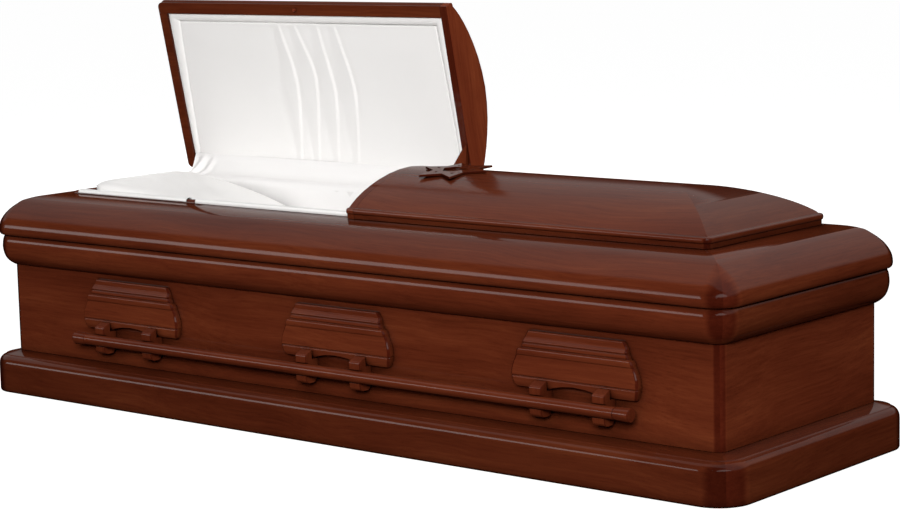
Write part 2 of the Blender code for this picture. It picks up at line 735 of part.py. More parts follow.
def build_interior():
    floor_top = BASE_TOP + SEAT_GAP + FLOOR_THICKNESS
    pad_bottom = BED_TOP - BED_PAD
    board_bottom = pad_bottom - SEAT_GAP - BED_BOARD
    half = BED_HALF_LENGTH
    support_x = half - SUPPORT_SETBACK
    bottom = floor_top + SEAT_GAP
    for label, x in (("head", -support_x), ("foot", support_x)):
        box_solid(f"{label}_bed_support",
                  (x - SUPPORT_THICKNESS / 2, -BED_HALF_WIDTH, bottom),
                  (x + SUPPORT_THICKNESS / 2, BED_HALF_WIDTH, board_bottom - SEAT_GAP),
                  mahogany(f"{label}_bed_support_wood"))
    box_solid("bed_board", (-half, -BED_HALF_WIDTH, board_bottom), (half, BED_HALF_WIDTH, board_bottom + BED_BOARD),
              mahogany("bed_board_wood"))
    box_solid("bed_pad", (-half, -BED_HALF_WIDTH, pad_bottom), (half, BED_HALF_WIDTH, BED_TOP),
              satin_cloth("bed_pad_cloth"))
    end_x = LINING_X + LINING_THICKNESS
    low = LINING_TOP - LINING_DROP
    for label, face in (("front", -1), ("back", 1)):
        y0, y1 = face * LINING_Y, face * (LINING_Y + LINING_THICKNESS)
        box_solid(f"{label}_lining", (-end_x, min(y0, y1), low), (end_x, max(y0, y1), LINING_TOP),
                  satin_cloth(f"{label}_lining_cloth"))
    span = LINING_Y - LINING_GAP / 2
    for label, face in (("head_end", -1), ("foot_end", 1)):
        x0, x1 = face * LINING_X, face * end_x
        box_solid(f"{label}_lining", (min(x0, x1), -span, low), (max(x0, x1), span, LINING_TOP),
                  satin_cloth(f"{label}_lining_cloth"))

    # Pillow: crowned in the middle and thin at its edges, lying on the pad.
    bm = bmesh.new()
    x0 = -LINING_X + PILLOW_HEAD_GAP
    x1 = x0 + PILLOW_LENGTH
    mid_x, half_x = (x0 + x1) / 2, (x1 - x0) / 2
    base = BED_TOP + SEAT_GAP
    sag = PILLOW_THICKNESS - SEAT_GAP
    rings = []
    squarish = 0.5
    for spread, share in PILLOW_CROWN:
        ring = []
        for k in range(24):
            turn = 2 * math.pi * k / 24
            c, s = math.cos(turn), math.sin(turn)
            lean = PILLOW_LEAN * (1 - spread)
            x = mid_x - lean + half_x * spread * math.copysign(abs(c) ** squarish, c)
            y = PILLOW_HALF_WIDTH * spread * math.copysign(abs(s) ** squarish, s)
            ring.append((x, y, base + sag * share))
        rings.append(ring)
    add_rings(bm, rings)
    make_solid("pillow", bm, satin_cloth("pillow_cloth"))


def main():
    clear_scene()
    build_carcass()
    build_caps()
    build_handles("front", -1)
    build_handles("back", 1)
    build_interior()


main()
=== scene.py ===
"""Looks of the hardwood coffin: lacquered mouldings, hipped caps, handles, star, and the white cloth inside."""

import json
import math

import bmesh
import bpy
import numpy as np
from mathutils import Matrix, Vector


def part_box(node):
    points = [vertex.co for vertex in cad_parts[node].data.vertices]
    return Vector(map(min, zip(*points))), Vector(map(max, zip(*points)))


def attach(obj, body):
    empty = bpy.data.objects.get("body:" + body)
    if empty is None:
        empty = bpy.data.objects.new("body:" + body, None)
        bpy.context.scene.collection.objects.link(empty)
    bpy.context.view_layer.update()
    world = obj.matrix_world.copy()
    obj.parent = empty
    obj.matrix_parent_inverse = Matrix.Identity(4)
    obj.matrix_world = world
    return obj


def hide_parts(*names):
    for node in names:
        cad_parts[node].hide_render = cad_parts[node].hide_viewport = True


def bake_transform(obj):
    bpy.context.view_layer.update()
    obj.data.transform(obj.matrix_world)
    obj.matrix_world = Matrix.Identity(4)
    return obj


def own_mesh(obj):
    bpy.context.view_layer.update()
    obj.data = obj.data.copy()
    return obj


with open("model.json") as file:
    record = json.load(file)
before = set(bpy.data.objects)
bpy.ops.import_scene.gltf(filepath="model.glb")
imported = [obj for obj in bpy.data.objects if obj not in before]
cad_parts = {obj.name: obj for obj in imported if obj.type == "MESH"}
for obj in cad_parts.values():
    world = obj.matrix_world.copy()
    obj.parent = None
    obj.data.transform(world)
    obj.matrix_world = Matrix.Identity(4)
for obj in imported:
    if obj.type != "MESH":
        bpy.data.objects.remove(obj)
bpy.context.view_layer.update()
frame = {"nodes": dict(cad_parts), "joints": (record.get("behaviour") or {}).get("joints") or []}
nodes = frame["nodes"]
scene = bpy.context.scene

# Studio: a pale floor that runs out of sight, and a wide dome that only the lacquer mirrors: grey above and
# behind, black low in front, with one narrow strip light at the left. Two wide lamps light the piece itself.
CAMERA_PLACE = Vector((3.53470, -4.11218, 1.14837))
CAMERA_YAW = math.radians(39.7831)
CAMERA_PITCH = math.radians(8.2351)
CAMERA_ROLL = math.radians(-1.3364)
FOCAL_PIXELS = 2448.53
PHOTO_WIDTH = 900
FLOOR_HALF = 40.0
DOME_RADIUS = 36.0
STRIP_TURN = math.radians(42.5)
FLANK_TURN = math.radians(52.0)

sight = Vector((-math.sin(CAMERA_YAW) * math.cos(CAMERA_PITCH),
                math.cos(CAMERA_YAW) * math.cos(CAMERA_PITCH), -math.sin(CAMERA_PITCH)))
level = Vector((math.cos(CAMERA_YAW), math.sin(CAMERA_YAW), 0.0))
upward = level.cross(sight)
right = level * math.cos(CAMERA_ROLL) + upward * math.sin(CAMERA_ROLL)
upward = upward * math.cos(CAMERA_ROLL) - level * math.sin(CAMERA_ROLL)
camera_data = bpy.data.cameras.new("camera")
camera_data.sensor_width = 36.0
camera_data.lens = FOCAL_PIXELS * camera_data.sensor_width / PHOTO_WIDTH
camera = bpy.data.objects.new("camera", camera_data)
scene.collection.objects.link(camera)
camera.matrix_world = Matrix((right, upward, -sight)).transposed().to_4x4()
camera.location = CAMERA_PLACE
scene.camera = camera
scene.view_settings.view_transform = "Standard"

room = bpy.data.worlds.new("room")
room.use_nodes = True
scene.world = room


def softbox(name, place, target, width, height, power):
    data = bpy.data.lights.new(name, "AREA")
    data.shape = "RECTANGLE"
    data.size, data.size_y = width, height
    data.energy = power
    lamp = bpy.data.objects.new(name, data)
    scene.collection.objects.link(lamp)
    lamp.location = place
    lamp.rotation_mode = "QUATERNION"
    lamp.rotation_quaternion = (Vector(target) - Vector(place)).to_track_quat("-Z", "Y")
    lamp.visible_glossy = False
    return lamp


softbox("overhead_softbox", (0.3, -1.5, 3.6), (-0.1, 0.0, 0.4), 4.0, 2.0, 34.0)
softbox("front_softbox", (5.2, -7.6, 3.6), (-0.1, 0.0, 0.4), 4.2, 2.2, 1120.0)
softbox("back_softbox", (-4.2, 4.6, 2.6), (0.0, 0.0, 0.3), 3.0, 2.0, 260.0)


class Wire:
    """A socket of a material's nodes: sums on it add Math nodes, and node() adds any other kind."""

    def __init__(self, tree, socket=None):
        self.tree = tree
        self.socket = socket

    def node(self, kind, settings=None, sockets=None, out=0):
        made = self.tree.nodes.new(kind)
        for name, value in (settings or {}).items():
            if name == "stops":
                ramp = made.color_ramp
                while len(ramp.elements) < len(value):
                    ramp.elements.new(1.0)
                for stop, (place, colour) in zip(ramp.elements, value):
                    stop.position = place
                    stop.color = (*colour, 1.0)
            else:
                setattr(made, name, value)
        for name, value in (sockets or {}).items():
            if isinstance(value, Wire):
                self.tree.links.new(value.socket, made.inputs[name])
            else:
                made.inputs[name].default_value = value
        return Wire(self.tree, made.outputs[out])

    def sum(self, operation, first, second):
        return self.node("ShaderNodeMath", {"operation": operation}, {0: first, 1: second})

    def __add__(self, other):
        return self.sum("ADD", self, other)

    __radd__ = __add__

    def __mul__(self, other):
        return self.sum("MULTIPLY", self, other)

    __rmul__ = __mul__

    def __sub__(self, other):
        return self.sum("SUBTRACT", self, other)

    def __rsub__(self, other):
        return self.sum("SUBTRACT", other, self)


def new_finish(name, **constants):
    """A material, the wire that adds its nodes, and its shader; constants are the shader's own sockets."""
    material = bpy.data.materials.new(name)
    material.use_nodes = True
    tree = material.node_tree
    shader = tree.nodes["Principled BSDF"]
    for socket, value in constants.items():
        shader.inputs[socket.replace("_", " ")].default_value = value
    return material, Wire(tree), shader


def feed(wire, shader, socket):
    wire.tree.links.new(wire.socket, shader.inputs[socket])


wire = Wire(room.node_tree)
height = wire.node("ShaderNodeSeparateXYZ", {}, {0: wire.node("ShaderNodeTexCoord")}, 2)
shade = wire.node("ShaderNodeMapRange", {}, {"Value": height, 1: -0.25, 2: 0.55, 3: 0.10, 4: 0.26})
feed(shade, room.node_tree.nodes["Background"], "Strength")

floor_mesh = bpy.data.meshes.new("floor")
floor_mesh.from_pydata([(s * FLOOR_HALF, t * FLOOR_HALF, -0.0006) for s, t in ((-1, -1), (1, -1), (1, 1), (-1, 1))],
                       [], [(0, 1, 2, 3)])
floor = bpy.data.objects.new("floor", floor_mesh)
scene.collection.objects.link(floor)
paper, wire, shader = new_finish("floor_paper", Base_Color=(0.20, 0.20, 0.20, 1.0), Roughness=0.9,
                                 Specular_IOR_Level=0.0, Emission_Color=(1.0, 1.0, 1.0, 1.0),
                                 Emission_Strength=0.985)
floor_mesh.materials.append(paper)
floor.visible_glossy = False
floor.visible_diffuse = False

dome_mesh = bpy.data.meshes.new("dome")
bm = bmesh.new()
bmesh.ops.create_uvsphere(bm, u_segments=48, v_segments=24, radius=DOME_RADIUS)
bm.to_mesh(dome_mesh)
bm.free()
dome = bpy.data.objects.new("dome", dome_mesh)
scene.collection.objects.link(dome)
night, wire, shader = new_finish("dome_light", Base_Color=(0.0, 0.0, 0.0, 1.0), Roughness=1.0,
                                 Specular_IOR_Level=0.0, Emission_Strength=1.0)
toward = wire.node("ShaderNodeVectorMath", {"operation": "NORMALIZE"},
                   {0: wire.node("ShaderNodeTexCoord", out=3)})


def facing(direction):
    return wire.node("ShaderNodeVectorMath", {"operation": "DOT_PRODUCT"}, {0: toward, 1: direction}, 1)


def ramp_between(value, start, end):
    return wire.node("ShaderNodeMapRange", {"interpolation_type": "SMOOTHSTEP"},
                     {"Value": value, 1: start, 2: end, 3: 0.0, 4: 1.0})


height = facing((0.0, 0.0, 1.0))
sky = ramp_between(height, 0.20, 0.38) * ramp_between(facing((0.0, 2.0, 1.0)), -0.24, -0.06) * 0.68
sideways = facing((-math.sin(STRIP_TURN), -math.cos(STRIP_TURN), 0.0))
strip = ramp_between(sideways, 0.955, 0.968) * ramp_between(height, 0.07, 0.10)
strip = strip * (1.0 - ramp_between(height, 0.33, 0.38)) * 4.2
flank = facing((math.sin(FLANK_TURN), -math.cos(FLANK_TURN), 0.0))
flank = ramp_between(flank, 0.86, 0.90) * ramp_between(height, 0.26, 0.30) * (1.0 - ramp_between(height, 0.46, 0.50))
strip = strip + flank * 2.6
glow = wire.node("ShaderNodeCombineColor", {}, {0: sky + strip, 1: (sky + strip) * 0.98, 2: (sky + strip) * 0.97})
feed(glow, shader, "Emission Color")
dome_mesh.materials.append(night)
dome.visible_camera = False
dome.visible_diffuse = False
dome.visible_shadow = False
dome.visible_transmission = False
dome.visible_volume_scatter = False


# Plinth: the moulded base that the box stands on, four lengths of mahogany mitred at rounded corners and
# lacquered over. All the outside wood has this finish: open straight grain under thick clear lacquer.
ALONG_X = (Vector((1, 0, 0)), Vector((0, 1, 0)), Vector((0, 0, 1)))
ALONG_Y = (Vector((0, 1, 0)), Vector((1, 0, 0)), Vector((0, 0, 1)))
ALONG_Z = (Vector((0, 0, 1)), Vector((1, 0, 0)), Vector((0, 1, 0)))


def mahogany(name, grain=ALONG_X, offset=0.0, tone_and_light=1.0, gloss=0.065, painted_shade_reach=0.024, edge_way=None):
    """Lacquered mahogany. grain is the way it runs and two ways across it; tone_and_light scales the board's colour,
    partly its own tone and partly painted light and shade; painted_shade_reach is how far painted shade spreads from a
    corner, edge_way the way a dark stained edge faces."""
    material, wire, shader = new_finish(name, Roughness=0.6, Coat_Weight=0.45, Coat_Roughness=gloss,
                                        Coat_IOR=1.5, Specular_IOR_Level=0.0)
    place = wire.node("ShaderNodeTexCoord", out=3)

    def run(direction):
        return wire.node("ShaderNodeVectorMath", {"operation": "DOT_PRODUCT"}, {0: place, 1: direction}, 1)

    u, v, w = (run(direction) for direction in grain)
    sway = wire.node("ShaderNodeTexNoise", {}, {"Vector": place, "Scale": 1.3, "Detail": 2.0})
    bend = (sway - 0.5) * 0.14

    def streaks(length, breadth, detail, shift):
        spot = wire.node("ShaderNodeCombineXYZ", {}, {0: u * length + (offset + shift), 1: (v + bend) * breadth,
                                                      2: (w + bend) * breadth})
        return wire.node("ShaderNodeTexNoise", {}, {"Vector": spot, "Scale": 1.0, "Detail": detail,
                                                    "Roughness": 0.55})

    broad = streaks(1.6, 11.0, 3.0, 3.0)
    fine = streaks(5.0, 190.0, 3.0, 7.0)
    pores = streaks(30.0, 720.0, 1.0, 11.0)
    shade = broad * 0.62 + fine * 0.38
    colour = wire.node("ShaderNodeValToRGB", {"stops": (
        (0.30, (0.060 * tone_and_light, 0.0105 * tone_and_light, 0.0040 * tone_and_light)),
        (0.46, (0.086 * tone_and_light, 0.0160 * tone_and_light, 0.0060 * tone_and_light)),
        (0.58, (0.106 * tone_and_light, 0.0215 * tone_and_light, 0.0078 * tone_and_light)),
        (0.76, (0.142 * tone_and_light, 0.0330 * tone_and_light, 0.0115 * tone_and_light)))}, {"Fac": shade})
    pitted = wire.node("ShaderNodeMapRange", {}, {"Value": pores, 1: 0.56, 2: 0.74, 3: 1.0, 4: 0.80})
    dark = wire.node("ShaderNodeMix", {"data_type": "RGBA", "blend_type": "MULTIPLY"},
                     {0: 1.0, 6: colour, 7: pitted}, 2)
    faces = wire.node("ShaderNodeTexCoord", out=1)
    turn = (wire.node("ShaderNodeSeparateXYZ", {}, {0: faces}) * wire.node("ShaderNodeSeparateXYZ", {}, {0: faces}, 1))
    turn = wire.node("ShaderNodeMath", {"operation": "ABSOLUTE"}, {0: turn})
    turn = wire.node("ShaderNodeMapRange", {"interpolation_type": "SMOOTHSTEP"},
                     {"Value": turn, 1: 0.06, 2: 0.34, 3: 0.0, 4: 1.0})
    post = wire.node("ShaderNodeMix", {"data_type": "RGBA", "blend_type": "MULTIPLY"},
                     {0: turn, 6: dark, 7: (0.48, 0.36, 0.40, 1.0)}, 2)
    # Painted shade: ambient occlusion darkens the wood's colour in corners, recesses and round the handles.
    nook = wire.node("ShaderNodeAmbientOcclusion", {"samples": 6}, {"Distance": painted_shade_reach}, 1)
    painted_nook_shade = wire.node("ShaderNodeMapRange", {}, {"Value": nook, 1: 0.28, 2: 0.92, 3: 0.20, 4: 1.08})
    shaded = wire.node("ShaderNodeMix", {"data_type": "RGBA", "blend_type": "MULTIPLY"},
                       {0: 1.0, 6: post, 7: painted_nook_shade}, 2)
    if edge_way:
        edge = wire.node("ShaderNodeVectorMath", {"operation": "DOT_PRODUCT"}, {0: faces, 1: edge_way}, 1)
        edge = wire.node("ShaderNodeMapRange", {}, {"Value": edge, 1: 0.80, 2: 0.95, 3: 0.0, 4: 1.0})
        shaded = wire.node("ShaderNodeMix", {"data_type": "RGBA", "blend_type": "MULTIPLY"},
                           {0: edge, 6: shaded, 7: (0.34, 0.28, 0.30, 1.0)}, 2)
    feed(shaded, shader, "Base Color")
    return material


def spline(points, steps):
    """Smooth curve through the points, with steps pieces between each two."""
    points = [Vector(point) for point in points]
    points = [2 * points[0] - points[1]] + points + [2 * points[-1] - points[-2]]
    made = []
    for a, b, c, d in zip(points, points[1:], points[2:], points[3:]):
        for k in range(steps):
            t = k / steps
            made.append(0.5 * (2 * b + (c - a) * t + (2 * a - 5 * b + 4 * c - d) * t * t
                               + (3 * b - a - 3 * c + d) * t ** 3))
    return made + [points[-2]]


def finish_mesh(name, bm, materials, body, soften=0.0006, angle=28):
    """Turn a bmesh into a shown piece with slightly rounded arrises, riding on a body."""
    bmesh.ops.remove_doubles(bm, verts=bm.verts, dist=0.00002)
    bmesh.ops.dissolve_degenerate(bm, dist=0.00002, edges=bm.edges)
    bmesh.ops.recalc_face_normals(bm, faces=bm.faces)
    weight = bm.edges.layers.float.get("bevel_weight_edge") or bm.edges.layers.float.new("bevel_weight_edge")
    for edge in bm.edges:
        if len(edge.link_faces) == 2 and edge.calc_face_angle() > math.radians(angle):
            edge[weight] = 1.0
    for face in bm.faces:
        face.smooth = True
    mesh = bpy.data.meshes.new(name)
    bm.to_mesh(mesh)
    bm.free()
    for material in materials:
        mesh.materials.append(material)
    piece = bpy.data.objects.new(name, mesh)
    scene.collection.objects.link(piece)
    if soften:
        arris = piece.modifiers.new("arris", "BEVEL")
        arris.limit_method = "WEIGHT"
        arris.width = soften
        arris.segments = 2
        arris.harden_normals = True
        arris.use_clamp_overlap = True
        even = piece.modifiers.new("even", "WEIGHTED_NORMAL")
        even.keep_sharp = True
    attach(piece, body)
    return piece


panel_low, panel_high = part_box("front_panel")
HALF_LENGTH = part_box("foot_end_panel")[1].x
HALF_WIDTH = -panel_low.y
CORNER_INSET = 0.021
CORNER_STEPS = 16


def moulding_round(name, section, woods, body="box", reach=None, **soft):
    """Sweep a closed section of (out from the panel, height) round the box, or along the part of it whose
    x is past reach, such as (-1, -0.02) for the head end as far as x = -0.02."""
    corners = []
    for sx, sy, turn in ((1, -1, -90), (1, 1, 0), (-1, 1, 90), (-1, -1, 180)):
        if reach is None or reach[0] == sx:
            corners.append((sx, sy, turn))
    if reach is not None and reach[0] > 0:
        corners = [corners[0], corners[1]]
    stations = []
    if reach is not None:
        sy = corners[0][1]
        stations.append([(reach[1], sy * (HALF_WIDTH + out), up) for out, up in section])
    sides = [0] if reach is not None else []
    for order, (sx, sy, turn) in enumerate(corners):
        for k in range(CORNER_STEPS + 1):
            angle = math.radians(turn + 90 * k / CORNER_STEPS)
            ring = []
            for out, up in section:
                radius = CORNER_INSET + out
                if radius > 0.0001:
                    ring.append((sx * (HALF_LENGTH - CORNER_INSET) + radius * math.cos(angle),
                                 sy * (HALF_WIDTH - CORNER_INSET) + radius * math.sin(angle), up))
                else:
                    ring.append((sx * (HALF_LENGTH + out), sy * (HALF_WIDTH + out), up))
            stations.append(ring)
            across = {(1, -1): (0, 1), (1, 1): (1, 0), (-1, 1): (0, 1), (-1, -1): (1, 0)}[(sx, sy)]
            sides.append(across[0] if k < CORNER_STEPS / 2 else across[1])
    if reach is not None:
        sy = corners[-1][1]
        stations.append([(reach[1], sy * (HALF_WIDTH + out), up) for out, up in section])
    bm = bmesh.new()
    rows = [[bm.verts.new(point) for point in ring] for ring in stations]
    count = len(section)
    for i in range(len(rows) - (1 if reach is not None else 0)):
        j = (i + 1) % len(rows)
        for k in range(count):
            n = (k + 1) % count
            quad = bm.faces.new((rows[i][k], rows[j][k], rows[j][n], rows[i][n]))
            quad.material_index = sides[i] if len(woods) > 1 else 0
    if reach is not None:
        bm.faces.new(rows[0])
        bm.faces.new(list(reversed(rows[-1])))
    return finish_mesh(name, bm, woods, body, **soft)


base_low, base_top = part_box("front_base")
PLINTH_OUT = -base_low.y - HALF_WIDTH
PLINTH_UP = base_top.z
plinth_face = [(0.962, 0.0), (1.0, 0.0365), (1.0, 0.640)]
plinth_round = spline([(1.0, 0.655), (0.985, 0.735), (0.935, 0.808), (0.850, 0.862), (0.770, 0.888), (0.690, 0.906)], 4)
plinth_slope = [(0.667, 0.925), (0.019, 1.0)]
plinth_section = [(-0.050, PLINTH_UP * 0.625), (0.010, PLINTH_UP * 0.625), (0.010, 0.0)]
plinth_section += [(a * PLINTH_OUT, b * PLINTH_UP) for a, b in plinth_face]
plinth_section += [(a * PLINTH_OUT, b * PLINTH_UP) for a, b in plinth_round]
plinth_section += [(a * PLINTH_OUT, b * PLINTH_UP) for a, b in plinth_slope]
plinth_section.append((-0.050, PLINTH_UP))
# Painted shade: the plinth takes a darker tone for the light falling off towards the floor, its sides more than its
# ends.
piece = moulding_round("plinth", plinth_section, [mahogany("plinth_side_wood", ALONG_X, 0.3, 0.72),
                                                  mahogany("plinth_end_wood", ALONG_Y, 5.1, 0.92)])
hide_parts("front_base", "back_base", "head_end_base", "foot_end_base")


# Sides: four flat boards of the same wood, glued at rounded corners and standing on the plinth. The body
# moulding is planted on them below the parting, and hides the joint between box and rim.
wall = panel_high.y + HALF_WIDTH
side_section = [(-wall, panel_low.z), (0.0, panel_low.z), (0.0, panel_high.z), (-wall, panel_high.z)]
# Painted light: the end boards take a brighter tone for the light on the box's ends, and painted shade reaches further
# on the sides, round the handles.
piece = moulding_round("sides", side_section, [mahogany("side_board_wood", ALONG_X, 2.4, painted_shade_reach=0.050),
                                               mahogany("end_board_wood", ALONG_Y, 9.6, 1.36, painted_shade_reach=0.050)])
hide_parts("front_panel", "back_panel", "head_end_panel", "foot_end_panel")

mould_low, mould_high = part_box("front_body_moulding")
MOULD_OUT = -mould_low.y - HALF_WIDTH
MOULD_RISE = mould_high.z - mould_low.z
mould_curve = spline([(0.146, 0.008), (0.390, 0.0715), (0.617, 0.154), (0.796, 0.2545), (0.925, 0.392),
                      (1.0, 0.557), (1.0, 0.688), (0.9545, 0.839), (0.851, 0.956), (0.763, 1.0)], 3)
mould_section = [(0.0003, mould_low.z)]
mould_section += [(a * MOULD_OUT, mould_low.z + b * MOULD_RISE) for a, b in mould_curve]
mould_section.append((0.0003, mould_high.z))
piece = moulding_round("body_moulding", mould_section, [mahogany("body_moulding_side_wood", ALONG_X, 14.2),
                                                        mahogany("body_moulding_end_wood", ALONG_Y, 17.5)])
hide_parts("front_body_moulding", "back_body_moulding", "head_end_body_moulding",
            "foot_end_body_moulding")


# Rim: the broad ogee that carries the caps, with a flat seat inside it and a small raised lip that stops
# where the two caps meet. A shallow recess for the catch is cut in the seat.
rim_low, rim_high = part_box("front_rim")
RIM_OUT = -rim_low.y - HALF_WIDTH
PARTING = rim_low.z
CAP_EDGE = HALF_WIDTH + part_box("foot_cap")[0].y
LIP_BACK = HALF_WIDTH + rim_high.y
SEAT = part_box("foot_cap_end_board")[0].z - 0.0003
rim_curve = spline([(0.925, 0.0), (0.9675, 0.0216), (0.993, 0.0735), (1.0, 0.151), (0.991, 0.243), (0.966, 0.346),
                    (0.920, 0.445), (0.863, 0.5405), (0.783, 0.636), (0.702, 0.7135), (0.616, 0.784),
                    (0.531, 0.848), (0.428, 0.903), (0.308, 0.949), (0.163, 0.982), (0.0, 1.0)], 3)
seat_edge = CAP_EDGE + 0.002
rim_section = [(-0.040, PARTING)]
rim_section += [(a * (RIM_OUT + seat_edge) - seat_edge, PARTING + b * (SEAT - PARTING)) for a, b in rim_curve]
rim_section += [(-LIP_BACK, SEAT), (-LIP_BACK, SEAT - 0.018), (-LIP_BACK + 0.028, SEAT - 0.029),
                (-0.040, PARTING + 0.009)]
# Painted light: the rim's ends take a brighter tone than its sides.
piece = moulding_round("rim", rim_section, [mahogany("rim_side_wood", ALONG_X, 21.7, 0.9, 0.09),
                                            mahogany("rim_end_wood", ALONG_Y, 25.3, 1.1, 0.10)], soften=0.0005)
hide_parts("front_rim", "back_rim", "head_end_rim", "foot_end_rim")


def catch_recess(piece):
    """Hidden block that cuts the recess for the catch into a piece of the rim."""
    pin_low, pin_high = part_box("catch_pin")
    turn = frame_turn(1)
    pin = turn @ ((pin_low + pin_high) / 2)
    block = bpy.data.meshes.new("catch_recess")
    corners = [(pin.x + a * 0.012, pin.y + b * 0.0080, SEAT + c) for a in (-1, 1) for b in (-1, 1)
               for c in (-0.012, 0.004)]
    block.from_pydata(corners, [], [(0, 1, 3, 2), (4, 6, 7, 5), (0, 4, 5, 1), (2, 3, 7, 6), (0, 2, 6, 4), (1, 5, 7, 3)])
    cutter = bpy.data.objects.new("catch_recess", block)
    scene.collection.objects.link(cutter)
    cutter.hide_render = True
    cutter.hide_viewport = True
    cutter.display_type = "WIRE"
    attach(cutter, "box")
    cut = piece.modifiers.new("catch_recess", "BOOLEAN")
    cut.object = cutter
    cut.solver = "EXACT"


HINGE = Vector(frame["joints"][0]["pos_m"])
OPEN_TURN = math.radians(frame["joints"][0]["range_deg"][1])


def frame_turn(way):
    """Turn about the hinge: 1 shuts what is modelled open, -1 opens what is modelled shut."""
    return Matrix.Translation(HINGE) @ Matrix.Rotation(way * OPEN_TURN, 4, "X") @ Matrix.Translation(-HINGE)


catch_recess(piece)

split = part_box("foot_cap_end_board")[0].x - 0.001
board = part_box("foot_cap_end_board")[1].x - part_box("foot_cap_end_board")[0].x
LIP_RISE = rim_high.z - SEAT
LIP_WIDE = 0.014
lip_curve = [(-0.15, -0.1)] + [tuple(point) for point in spline([(0.0, 0.0), (0.071, 0.577), (0.25, 0.923),
                                                               (0.4286, 1.0), (0.643, 1.0), (0.857, 0.846),
                                                               (1.0, 0.487)], 2)] + [(1.0, -0.1)]
lip_section = [(-LIP_BACK + (1 - a) * LIP_WIDE, SEAT + b * LIP_RISE) for a, b in lip_curve if a >= 0]
for label, way in (("head", -1), ("foot", 1)):
    piece = moulding_round(f"{label}_lip", lip_section, [mahogany(f"{label}_lip_wood", ALONG_X, 31.0 + way)],
                           reach=(way, split + way * (board + 0.002)), soften=0.0004)


# Caps: two hipped covers of the same wood, each a beaded band with a low crown rising to a ridge, closed
# where they meet by an end board. The foot cap lies on the rim; the head cap stands open on its hinge.
CAP_HALF_W = -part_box("foot_cap")[0].y
CAP_HALF_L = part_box("foot_cap")[1].x
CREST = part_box("foot_cap")[1].z
BAND_RISE = 0.0235
CAP_WALL = 0.031
CROWN_SHELL = 0.016
CAP_CORNER = 0.016
band_curve = [(0.149, 0.013), (0.149, 0.447), (0.080, 0.490)] + [tuple(p) for p in spline(
    [(0.043, 0.532), (0.0, 0.723), (0.043, 0.915)], 3)] + [(0.100, 0.965), (0.191, 1.0)]
crown_curve = spline([(0.0459, 0.2599), (0.0917, 0.3422), (0.1606, 0.4513), (0.2523, 0.569), (0.367, 0.6898),
                      (0.5046, 0.8053), (0.6651, 0.907), (0.8257, 0.9711), (1.0, 1.0)], 4)
cap_outer = [(a * BAND_RISE, SEAT + 0.0003 + b * (BAND_RISE - 0.0003)) for a, b in band_curve]
cap_outer += [(a * CAP_HALF_W, SEAT + b * (CREST - SEAT)) for a, b in crown_curve]
cap_inner = [(CAP_WALL, SEAT + 0.0003), (CAP_WALL, SEAT + 0.915 * BAND_RISE)]
cap_inner += [(a * CAP_HALF_W, SEAT + b * (CREST - SEAT) - CROWN_SHELL) for a, b in crown_curve[12:]]


def hipped_cap(name, end, x_cut, woods, body, shut=True):
    """Hipped cover open at x_cut; end is -1 at the head and 1 at the foot."""
    def ring(inset, height):
        points = [(x_cut, -(CAP_HALF_W - inset), height)]
        radius = CAP_CORNER - inset
        for side in (-1, 1):
            for k in range(9):
                turn = math.radians(90 * (k if side < 0 else 8 - k) / 8)
                if radius > 0.0002:
                    x = CAP_HALF_L - CAP_CORNER + radius * math.sin(turn)
                    y = CAP_HALF_W - CAP_CORNER + radius * math.cos(turn)
                else:
                    x, y = CAP_HALF_L - inset, CAP_HALF_W - inset
                points.append((end * x, side * y, height))
        points.append((x_cut, CAP_HALF_W - inset, height))
        return points

    bm = bmesh.new()
    hip = bm.edges.layers.float.new("bevel_weight_edge")
    skins = []
    for line in (cap_outer, cap_inner):
        rows = [[bm.verts.new(point) for point in ring(*station)] for station in line]
        for low, high in zip(rows, rows[1:]):
            for i in range(len(low) - 1):
                quad = bm.faces.new((low[i], low[i + 1], high[i + 1], high[i]))
                quad.material_index = 1 if 4 < i < 14 and len(woods) > 1 else 0
        skins.append(rows)
    outer, inner = skins
    for i in range(len(outer[0]) - 1):
        bm.faces.new((outer[0][i], outer[0][i + 1], inner[0][i + 1], inner[0][i]))
    mouth = [row[0] for row in outer] + [row[-1] for row in reversed(outer[:-1])]
    mouth += [row[-1] for row in inner] + [row[0] for row in reversed(inner[:-1])]
    bm.faces.new(mouth)
    first = next(k for k, (inset, _) in enumerate(cap_outer) if inset > CAP_CORNER)
    for low, high in zip(outer[first:-1], outer[first + 1:]):
        for i in (5, 14):
            edge = bm.edges.get((low[i], high[i]))
            if edge:
                edge[hip] = 1.0
    if not shut:
        bm.transform(frame_turn(-1))
    return finish_mesh(name, bm, woods, body, soften=0.0007)


def turned(grain):
    """A grain given for the shut head cap, turned to the open cap's place."""
    turn = Matrix.Rotation(-OPEN_TURN, 3, "X")
    return tuple(turn @ direction for direction in grain)


foot_board_low, foot_board_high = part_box("foot_cap_end_board")
piece = hipped_cap("foot_cap_crown", 1, foot_board_high.x, [mahogany("foot_cap_wood", ALONG_X, 41.3, 0.94, 0.15),
                                                           mahogany("foot_cap_hip_wood", ALONG_Y, 44.9, 0.94, 0.15)], "box")
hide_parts("foot_cap")
head_board_low, head_board_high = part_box("head_cap_end_board")
piece = hipped_cap("head_cap_crown", -1, head_board_low.x, [mahogany("head_cap_wood", turned(ALONG_X), 51.2, 0.88),
                                                           mahogany("head_cap_hip_wood", turned(ALONG_Y), 57.4)],
                   "head_lid", shut=False)
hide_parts("head_cap")


